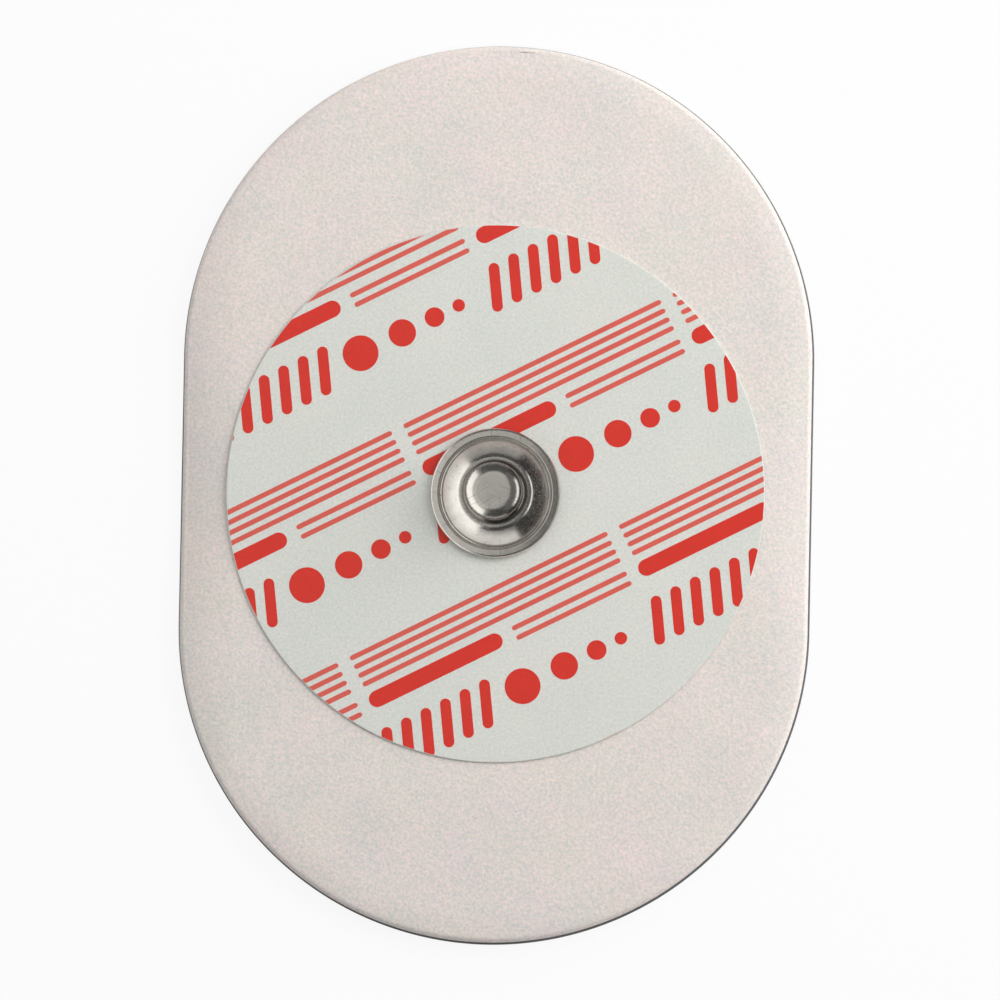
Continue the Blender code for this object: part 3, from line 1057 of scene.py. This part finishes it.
# The room is white to look at and in reflections, and gives a third of that as light.
world = bpy.data.worlds.new("studio_room")
world.use_nodes = True
bpy.context.scene.world = world
tree = world.node_tree
tree.nodes.clear()
path = place(tree, "ShaderNodeLightPath").outputs
seen = any_of(tree, [path["Is Camera Ray"], path["Is Glossy Ray"], path["Is Transmission Ray"]])
room_light = place(tree, "ShaderNodeBackground", {"Color": (0.97, 0.985, 1.0, 1.0), "Strength": 0.345})
backdrop = place(tree, "ShaderNodeBackground", {"Color": (1.0, 1.0, 1.0, 1.0), "Strength": 1.0})
mixed = place(tree, "ShaderNodeMixShader", {0: seen, 1: room_light.outputs[0], 2: backdrop.outputs[0]})
place(tree, "ShaderNodeOutputWorld", {"Surface": mixed.outputs[0]})


def show_only(thing, *rays):
    """Only these kinds of ray see the object."""
    for ray in RAYS:
        setattr(thing, f"visible_{ray}", ray in rays)


def outward(azimuth, zenith):
    """The direction from the pad at an azimuth and an angle from upright, in radians."""
    flat = math.sin(zenith)
    return Vector((flat * math.cos(azimuth), flat * math.sin(azimuth), math.cos(zenith)))


def add_softbox(name, azimuth, zenith, distance, size, power):
    """A square lamp that faces the pad, from its angles in degrees."""
    lamp = bpy.data.lights.new(name, "AREA")
    lamp.shape = "SQUARE"
    lamp.size = size
    lamp.energy = power
    box = bpy.data.objects.new(name, lamp)
    heading = outward(math.radians(azimuth), math.radians(zenith))
    box.location = PAD_MIDDLE + heading * distance
    box.rotation_euler = heading.to_track_quat("Z", "Y").to_euler()
    bpy.context.scene.collection.objects.link(box)
    show_only(box, "diffuse", "transmission", "shadow")


add_softbox("softbox_right", 22, 60, 0.30, 0.28, 0.99)
add_softbox("card_above", 112, 42, 0.25, 0.24, 0.155)
add_softbox("lamp_under_table", 0, 180, 0.5, 0.6, 3.2)


def add_card(name, azimuths, zeniths, brightness, distance=0.4):
    """A curved card round the pad that only reflections show, from its angles in degrees."""
    columns = max(2, int(abs(azimuths[1] - azimuths[0]) / 8))
    rows = max(2, int(abs(zeniths[1] - zeniths[0]) / 8))
    points, faces = [], []
    for zenith in np.radians(np.linspace(*zeniths, rows + 1)):
        for azimuth in np.radians(np.linspace(*azimuths, columns + 1)):
            points.append(outward(azimuth, zenith) * distance)
    for row in range(rows):
        for column in range(columns):
            corner = row * (columns + 1) + column
            faces.append((corner, corner + 1, corner + columns + 2, corner + columns + 1))
    mesh = bpy.data.meshes.new(name)
    mesh.from_pydata(points, [], faces)
    material = bpy.data.materials.new(name)
    material.use_nodes = True
    tree = material.node_tree
    tree.nodes.clear()
    glow = place(tree, "ShaderNodeEmission", {"Color": (1.0, 0.99, 0.97, 1.0), "Strength": brightness})
    place(tree, "ShaderNodeOutputMaterial", {"Surface": glow.outputs[0]})
    mesh.materials.append(material)
    card = bpy.data.objects.new(name, mesh)
    card.location = PAD_MIDDLE
    bpy.context.scene.collection.objects.link(card)
    show_only(card, "glossy")


add_card("camera_shade", (0, 360), (0, 6), 0.48, 0.38)
add_card("ceiling", (132, 244), (6, 37), 0.72)
add_card("ceiling_front", (244, 300), (6, 15), 0.6)
add_card("ceiling_back", (60, 132), (6, 24), 0.66)
add_card("ceiling_right", (-60, 60), (6, 50), 0.17)
add_card("dark_room_front", (244, 300), (15, 74), 0.07)
add_card("dark_room_back", (60, 132), (24, 79), 0.10)
add_card("pale_room_back", (60, 132), (79, 92), 0.45)
add_card("bright_card_right", (-32, 34), (50, 64), 1.65)
add_card("dark_room_right", (-60, 60), (64, 93), 0.035)
add_card("dark_room_right_front", (-60, -32), (50, 64), 0.08)
add_card("dark_room_right_back", (34, 60), (50, 64), 0.08)
add_card("white_card_left", (132, 244), (37, 83), 1.5)

# The camera looks down from over the electrode's lower right, tilted a little.
LENS = 700.6
CAMERA_DISTANCE = 1.3
CAMERA_TILT = math.radians(4.3)
CAMERA_ROLL = math.radians(1.1)
CAMERA_LEAN = (0.53, -0.85)  # which way it is tilted, to the right and up in the picture
PIXEL = 0.0668 * MM
AIM_PIXELS = (4.5, -6.5)  # from the pad's middle, to the right and up in the picture

right = Vector((math.cos(CAMERA_ROLL), math.sin(CAMERA_ROLL), 0.0))
up = Vector((-math.sin(CAMERA_ROLL), math.cos(CAMERA_ROLL), 0.0))
lean = (right * CAMERA_LEAN[0] + up * CAMERA_LEAN[1]).normalized()
back = lean * math.sin(CAMERA_TILT) + Vector((0.0, 0.0, math.cos(CAMERA_TILT)))
picture_right = up.cross(back).normalized()
aim = PAD_MIDDLE + (right * AIM_PIXELS[0] + up * AIM_PIXELS[1]) * PIXEL
camera_data = bpy.data.cameras.new("camera")
camera_data.sensor_width = 36.0
camera_data.lens = LENS
camera_data.clip_start, camera_data.clip_end = 0.01, 10.0
camera = bpy.data.objects.new("camera", camera_data)
bpy.context.scene.collection.objects.link(camera)
turn = Matrix((picture_right, back.cross(picture_right), back)).transposed()
camera.matrix_world = Matrix.Translation(aim + back * CAMERA_DISTANCE) @ turn.to_4x4()
bpy.context.scene.camera = camera
bpy.context.scene.view_settings.view_transform = "Standard"
